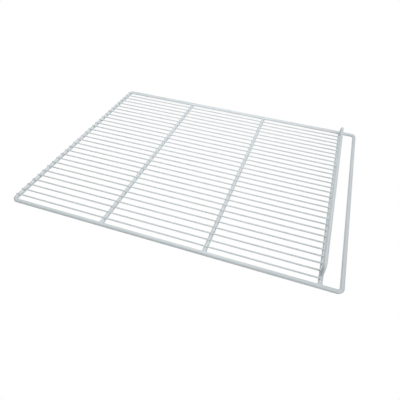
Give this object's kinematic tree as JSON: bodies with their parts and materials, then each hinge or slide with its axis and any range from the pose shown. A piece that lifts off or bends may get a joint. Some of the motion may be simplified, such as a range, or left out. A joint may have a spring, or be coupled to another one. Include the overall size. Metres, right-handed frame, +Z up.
{
  "type": "refrigerator shelf",
  "caption": "Rectangular coated wire shelf for a refrigerator: a heavy wire frame with cross wires, a deck of thin parallel wires and a raised stop rail at the rear.",
  "frame": {"origin": "on the surface that the shelf lies on, under the middle of the frame", "axes": "+X from the front to the rear, where the stop rail stands; +Y from side to side; +Z up"},
  "size_m": [0.65, 0.53, 0.036],
  "materials": {
    "coating": "satin plastic coat, light cool grey"
  },
  "bodies": {
    "root": {"frame_wire": "coating", "cross_wire_front": "coating", "cross_wire_middle": "coating", "cross_wire_rear": "coating", "stop_rail": "coating", "deck_wire_01": "coating", "deck_wire_02": "coating", "deck_wire_03": "coating", "deck_wire_04": "coating", "deck_wire_05": "coating", "deck_wire_06": "coating", "deck_wire_07": "coating", "deck_wire_08": "coating", "deck_wire_09": "coating", "deck_wire_10": "coating", "deck_wire_11": "coating", "deck_wire_12": "coating", "deck_wire_13": "coating", "deck_wire_14": "coating", "deck_wire_15": "coating", "deck_wire_16": "coating", "deck_wire_17": "coating", "deck_wire_18": "coating", "deck_wire_19": "coating", "deck_wire_20": "coating", "deck_wire_21": "coating", "deck_wire_22": "coating", "deck_wire_23": "coating", "deck_wire_24": "coating", "deck_wire_25": "coating", "deck_wire_26": "coating", "deck_wire_27": "coating", "deck_wire_28": "coating", "deck_wire_29": "coating", "deck_wire_30": "coating"}
  },
  "joints": []
}
